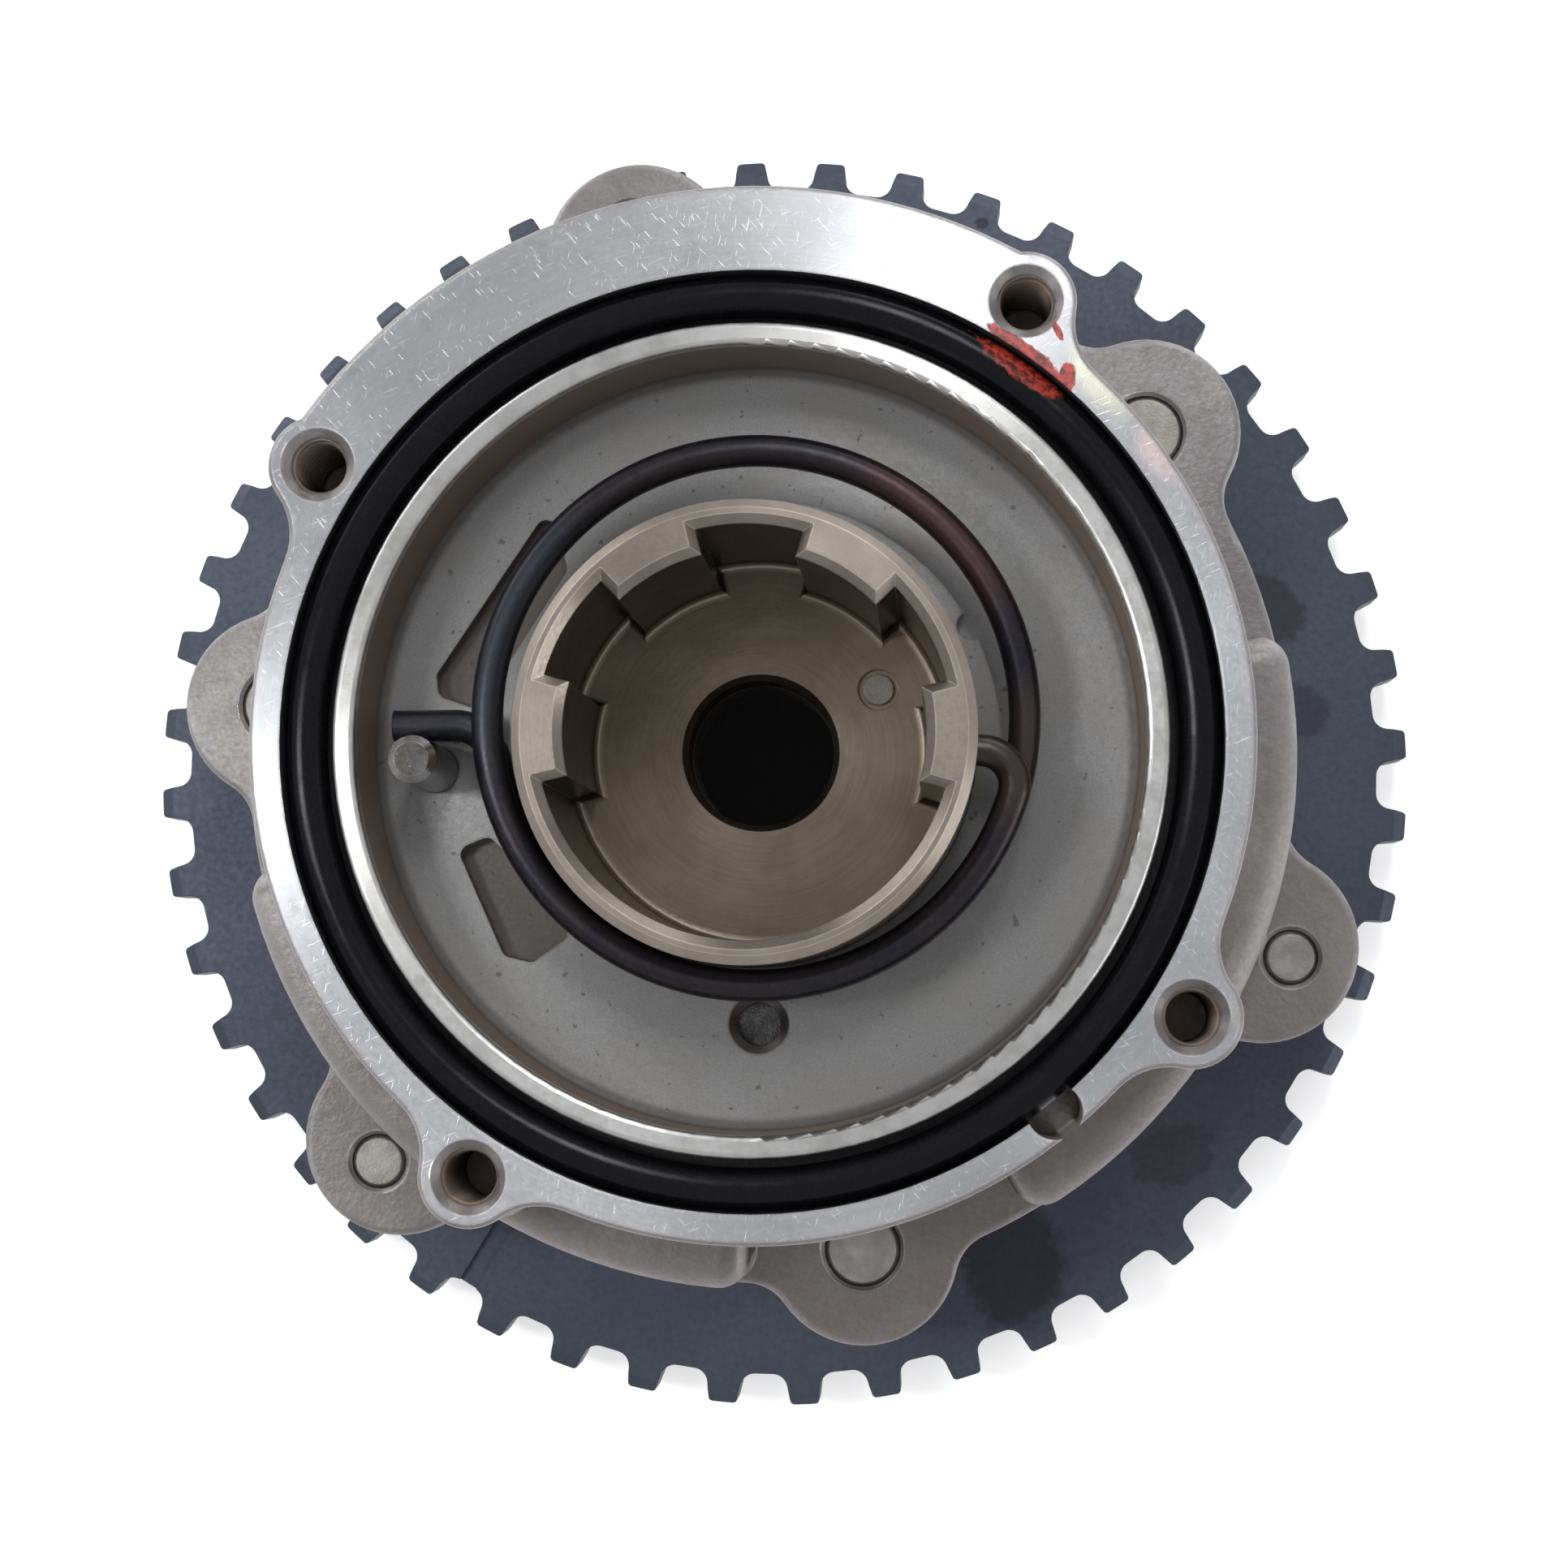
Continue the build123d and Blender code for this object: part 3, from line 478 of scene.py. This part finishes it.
def housing_material():
    g = Graph("housing_aluminium", metallic=1.0, roughness=0.4, anisotropic=0.75, edge=0.35)
    g.turned()
    patch = g.noise(0.35, 4, 0.6)
    fine = g.noise(2.2, 4, 0.65)

    # Where each surface is
    high = g.step(g.z, FLANGE_TOP - 0.6, FLANGE_TOP - 0.3)
    flat = g.step(g.up, 0.90, 0.98)
    top = g.step(g.z, FLANGE_TOP - 0.2, FLANGE_TOP - 0.05)
    flange = g.times(top, g.step(g.r, RIM_OUTER_R + 0.7, RIM_OUTER_R + 1.1), flat)
    rim_top = g.step(g.z, FLANGE_TOP - 0.7, FLANGE_TOP - 0.4)
    rim = g.times(rim_top, g.band(g.r, RIM_INNER_R - 0.15, RIM_OUTER_R + 0.2, 0.05))
    above = g.step(g.z, ROTOR_FRONT + 0.55, ROTOR_FRONT + 1.55)
    inside = g.times(g.step(g.r, RIM_INNER_R + 0.1, RIM_INNER_R + 0.15, 1, 0), above)
    below = g.step(g.z, NECK_TOP + 0.2, NECK_TOP + 0.5, 1, 0)
    low = g.times(g.step(g.r, RIM_INNER_R + 0.05, RIM_INNER_R + 0.25, 1, 0), below)
    floor = g.times(low, g.step(g.z, RECESS_FLOOR - 2.5, RECESS_FLOOR - 2.2))
    wall_height = g.band(g.z, RECESS_FLOOR + 0.4, FLANGE_TOP - 0.5, 0.15)
    upright = g.step(g.up, 0.3, 0.6, 1, 0)
    wall = g.times(g.band(g.r, RIM_INNER_R - 0.35, RIM_INNER_R + 0.25, 0.1), wall_height, upright)
    sunk = g.step(g.z, FLANGE_TOP - 0.1, FLANGE_TOP - 0.3, 0, 1)
    groove = g.times(g.band(g.r, RIM_OUTER_R - 0.02, GROOVE_OUTER_R + 0.02, 0.02), sunk)
    side_shade = g.step(g.up, 0.15, 0.5, 1, 0)
    hole = tapped_holes(g)
    edges = g.edges()
    keep = g.math("SUBTRACT", 0.7, g.times(g.most(inside, groove, hole, rim), 0.6))
    marks = g.most(
        g.scratches(22, 5.0, 2.4, 0.66, 0.74),
        g.scratches(-48, 6.0, 2.0, 0.67, 0.75),
        g.scratches(80, 5.5, 1.8, 0.67, 0.75),
    )
    smudge = g.step(g.noise(0.22, 5, 0.65), 0.56, 0.68, 0, 0.4)

    # Metal
    base = g.mix(g.most(flange, rim), cast_skin(g, fine, patch, side_shade), cut_face(g, marks, smudge))
    base = g.mix(floor, base, recess_ground(g))
    base = g.mix(wall, base, (0.230, 0.180, 0.150))
    # Painted shade: the seal groove is darkened to near black
    base = g.mix(groove, base, (0.06, 0.06, 0.06))
    base = g.mix(g.times(hole, 0.9), base, (0.30, 0.235, 0.19))
    silver = g.mix(g.step(patch, 0.4, 0.7), (0.56, 0.56, 0.55), (0.45, 0.445, 0.435))
    base = g.mix(rim, base, silver)
    # Painted highlight: corners lightened, less in the recess, the groove, the holes and on the rim
    base = g.mix(g.times(edges, keep), base, (0.80, 0.79, 0.77))

    # Red paint splashed over the flange, and the faint films beside it
    paint = g.times(g.most(*[g.step(g.spot(*drop), 0.80, 0.95, 1, 0) for drop in FLANGE_PAINT]), high)
    film = g.times(g.step(g.spot(*YELLOW_FILM), 0.5, 1.2, 0.6, 0), flange)
    blush = g.times(g.step(g.spot(*RED_FILM), 0.5, 1.2, 0.6, 0), flange)
    base = g.mix(film, base, (0.86, 0.86, 0.66))
    base = g.mix(blush, base, (0.84, 0.66, 0.66))
    red = g.mix(g.step(g.noise(1.5, 3), 0.38, 0.60), (0.13, 0.012, 0.010), (0.50, 0.040, 0.022))
    base = g.mix(g.times(paint, 0.9), base, red)
    g.put(g.shader.inputs["Base Color"], base)
    g.put(g.shader.inputs["Metallic"], g.rest(paint))

    rough = g.step(fine, 0.2, 0.8, 0.46, 0.58)
    rough = g.plus(rough, g.times(flange, -0.20), g.times(smudge, flange, 0.15), g.times(rim, -0.20))
    rough = g.plus(rough, g.times(floor, 0.04), g.times(edges, keep, -0.30), g.times(paint, -0.15))
    g.put(g.shader.inputs["Roughness"], rough)
    machined = g.most(flange, inside, rim)
    grain = g.plus(g.times(fine, 0.5), g.times(g.noise(0.8, 3, 0.5), 0.5))
    skin = g.times(g.rest(machined), grain)
    turning = g.times(machined, g.rings(7.0), g.rest(rim))
    g.bump(g.plus(skin, g.times(turning, 0.05), g.times(marks, flange, -0.05)), 0.07, rim)
    return g.material


def rubber_material():
    g = Graph("seal_rubber_black", roughness=0.18, specular=0.15)
    fine = g.noise(3.0, 3, 0.6)
    colour = g.mix(g.step(fine, 0.3, 0.8), (0.0030, 0.0030, 0.0045), (0.0060, 0.0060, 0.0080))
    dust = g.step(g.noise(7.0, 2, 0.5), 0.74, 0.80, 0, 0.3)
    colour = g.mix(dust, colour, (0.09, 0.09, 0.09))
    red = g.step(g.spot(*SEAL_PAINT), 0.80, 0.95, 0.9, 0)
    shade = g.mix(g.step(g.noise(1.5, 3), 0.38, 0.60), (0.07, 0.010, 0.008), (0.34, 0.032, 0.018))
    colour = g.mix(red, colour, shade)
    g.put(g.shader.inputs["Base Color"], colour)
    g.put(g.shader.inputs["Roughness"], g.step(g.noise(0.4, 3, 0.6), 0.3, 0.7, 0.14, 0.24))
    g.bump(fine, 0.0012)
    return g.material


def spring_material():
    """Dark wire with a reddish painted reflection at the upper right and a blue-grey painted highlight on
    the left.
    """
    g = Graph("spring_dark", metallic=0.7, roughness=0.3)
    around = g.round_point(*COIL_CENTRE)[1]
    fine = g.noise(1.8, 4, 0.6)
    colour = g.mix(g.step(g.noise(0.16, 3, 0.5), 0.35, 0.65), (0.014, 0.015, 0.024), (0.024, 0.019, 0.023))
    # Painted reflection: reddish tint on the coil's upper right
    colour = g.mix(g.times(g.sector(around, 45, 18, 12), 0.7), colour, (0.075, 0.036, 0.034))
    # Painted highlight: blue-grey tint on the coil's left
    colour = g.mix(g.times(g.sector(around, 162, 26, 14), 0.6), colour, (0.045, 0.052, 0.066))
    colour = g.mix(g.times(g.sector(around, -8, 14, 8), 0.6), colour, (0.070, 0.050, 0.042))
    colour = g.mix(g.step(fine, 0.5, 0.8, 0, 0.35), colour, (0.060, 0.050, 0.048))
    g.put(g.shader.inputs["Base Color"], colour)
    g.put(g.shader.inputs["Roughness"], g.step(fine, 0.2, 0.8, 0.26, 0.38))
    g.bump(fine, 0.008)
    return g.material


def hub_material():
    g = Graph("hub_steel", metallic=1.0, roughness=0.34, anisotropic=0.5, edge=0.2)
    g.turned()
    cloud = g.noise(0.16, 4, 0.55)
    fine = g.noise(2.6, 4, 0.6)
    base = g.mix(g.step(cloud, 0.3, 0.7), (0.26, 0.224, 0.190), (0.335, 0.293, 0.255))
    base = g.mix(g.step(fine, 0.35, 0.75, 0, 0.3), base, (0.28, 0.245, 0.21))
    bore = g.step(g.r, HUB_CHAMFER_R - 0.2, HUB_CHAMFER_R + 0.2, 1, 0)
    # Painted shade: the bore below its top edge is darkened, in patches
    inner = g.times(bore, g.step(g.z, HUB_TOP - 1.3, HUB_TOP - 0.6, 1, 0))
    bore_shade_amount = g.step(g.noise(0.3, 4, 0.6), 0.3, 0.7, 0.80, 0.95)
    base = g.mix(g.times(inner, bore_shade_amount), base, (0.085, 0.064, 0.050))
    floor = g.times(g.step(g.z, HUB_FLOOR + 0.2, HUB_FLOOR + 0.8, 1, 0), g.step(g.up, 0.8, 0.95))
    ground = g.mix(g.step(cloud, 0.3, 0.7), (0.150, 0.122, 0.094), (0.195, 0.160, 0.124))
    ground = g.mix(g.step(g.rings(4.0), 0.3, 0.8, 0, 0.4), ground, (0.115, 0.092, 0.070))
    base = g.mix(floor, base, ground)
    # Painted highlight along the fillet where the floor meets the walls
    corner = g.times(g.band(g.z, HUB_FLOOR + 0.07, HUB_FLOOR + 0.6, 0.04), g.band(g.up, 0.2, 0.99, 0.01))
    base = g.mix(g.times(corner, 0.8), base, (0.46, 0.40, 0.33))
    # Painted highlight: corners lightened, more so near the top
    edge_highlight_amount = g.step(g.z, HUB_TOP - 8.3, HUB_TOP - 0.3, 0.35, 0.8)
    base = g.mix(g.times(g.edges(), edge_highlight_amount), base, (0.86, 0.82, 0.76))
    g.put(g.shader.inputs["Base Color"], base)
    rough = g.plus(g.step(fine, 0.2, 0.8, 0.28, 0.40), g.times(floor, 0.1))
    g.put(g.shader.inputs["Roughness"], rough)
    g.bump(g.plus(g.times(fine, 0.5), g.times(g.rings(6.0), 0.5)), 0.010)
    return g.material


def steel_material(name, dark, light, roughness, edge=0.2, metallic=1.0, bump=0.02, highlight_strength=0.6):
    g = Graph(name, metallic=metallic, roughness=roughness, edge=edge)
    fine = g.noise(4.0, 3, 0.6)
    colour = g.mix(g.step(g.noise(0.5, 4, 0.6), 0.3, 0.7), dark, light)
    # Painted highlight: corners lightened
    bright = tuple(min(1.0, c * 1.6 + 0.1) for c in light)
    colour = g.mix(g.times(g.edges(), highlight_strength), colour, bright)
    g.put(g.shader.inputs["Base Color"], colour)
    g.put(g.shader.inputs["Roughness"], g.step(fine, 0.2, 0.8, roughness - 0.06, roughness + 0.06))
    g.bump(fine, bump)
    return g.material


def grey(level):
    return (level, level, level)


def dress(name, material):
    slots = nodes[name].data.materials
    slots.clear()
    slots.append(material)


def dress_nodes(housing, wire):
    pin_shades = ((0.13, 0.125, 0.12), (0.21, 0.205, 0.20))
    single = {
        "chain_sprocket": sprocket_material(),
        "housing": housing,
        "o_ring": rubber_material(),
        "spring_hub": hub_material(),
        "rotor": steel_material("rotor_steel", (0.30, 0.29, 0.28), (0.42, 0.41, 0.40), 0.4),
        "hub_dowel": steel_material("dowel_steel", (0.17, 0.155, 0.14), (0.25, 0.23, 0.21), 0.45),
        "spring_pin": steel_material("pin_polished", *pin_shades, 0.14, 0.15, highlight_strength=0.9),
        "floor_plug": steel_material("plug_dark", grey(0.03), grey(0.14), 0.45, bump=0.2),
        "lock_spring": wire,
        "torsion_spring": wire,
    }
    screw = steel_material("screw_grey", (0.24, 0.227, 0.213), (0.34, 0.322, 0.30), 0.42, 0.3)
    lock = steel_material("lock_steel", grey(0.45), grey(0.56), 0.3)
    leaf = steel_material("leaf_steel", (0.45, 0.45, 0.43), (0.6, 0.6, 0.58), 0.3)
    plastic = steel_material("seal_plastic", (0.05, 0.045, 0.04), (0.08, 0.07, 0.06), 0.5, metallic=0.0)
    families = {"screw_": screw, "lock_": lock, "seal_spring_": leaf, "seal_": plastic}
    for name in nodes:
        if name in single:
            dress(name, single[name])
            continue
        for part, material in families.items():
            if part in name:
                dress(name, material)
                break


# Pieces

def new_piece(name, verts, faces, material):
    mesh = bpy.data.meshes.new(name)
    mesh.from_pydata([tuple(c * MM for c in v) for v in verts], [], faces)
    mesh.validate()
    mesh.polygons.foreach_set("use_smooth", [True] * len(mesh.polygons))
    mesh.update()
    mesh.materials.append(material)
    piece = bpy.data.objects.new(name, mesh)
    scene.collection.objects.link(piece)
    return piece


def make_thread(name, centre, material):
    """Helical ridge of a tapped hole, with its root in the wall and fading out at its ends."""
    steps = 32
    length = TAP_DEPTH - 2.4
    count = int(length / THREAD_PITCH * steps)
    wall = TAP_R + THREAD_SINK
    verts, faces = [], []
    for i in range(count + 1):
        angle = 360 * i / steps
        z = FLANGE_TOP - TAP_CHAMFER - THREAD_PITCH * i / steps
        fade = min(1.0, i / (0.5 * steps), (count - i) / (0.5 * steps))
        crest = wall - (THREAD_DEPTH + THREAD_SINK) * fade
        for r, dz in ((wall, 0.46), (crest, 0.08), (crest, -0.08), (wall, -0.46)):
            x, y = polar(r, angle)
            verts.append((centre[0] + x, centre[1] + y, z + dz * THREAD_PITCH))
    for i in range(count):
        a, b = 4 * i, 4 * (i + 1)
        for k in range(3):
            faces.append((a + k, b + k, b + k + 1, a + k + 1))
        faces.append((a + 3, b + 3, b, a))
    faces.append((0, 1, 2, 3))
    faces.append(tuple(4 * count + k for k in (3, 2, 1, 0)))
    return new_piece(name, verts, faces, material)


def make_spring(material):
    """The return spring, from its leg on the pin to its hook in the hub, as a copy of its mesh that takes
    the place of the part.
    """
    mesh = nodes["torsion_spring"].data.copy()
    mesh.name = "wound_spring"
    mesh.materials.clear()
    mesh.materials.append(material)
    piece = bpy.data.objects.new("wound_spring", mesh)
    scene.collection.objects.link(piece)
    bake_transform(piece)
    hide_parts("torsion_spring")


scene.view_settings.view_transform = "Standard"
make_camera()
make_world()
make_floor()
for lamp, settings in LAMPS.items():
    area_light(lamp, *settings)

housing_skin = housing_material()
spring_wire = spring_material()
dress_nodes(housing_skin, spring_wire)
make_spring(spring_wire)
for number, bolt_angle in enumerate(COVER_BOLT_ANGLES, 1):
    thread = make_thread(f"thread_{number}", polar(COVER_BOLT_R, bolt_angle), housing_skin)
    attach(thread, "housing")
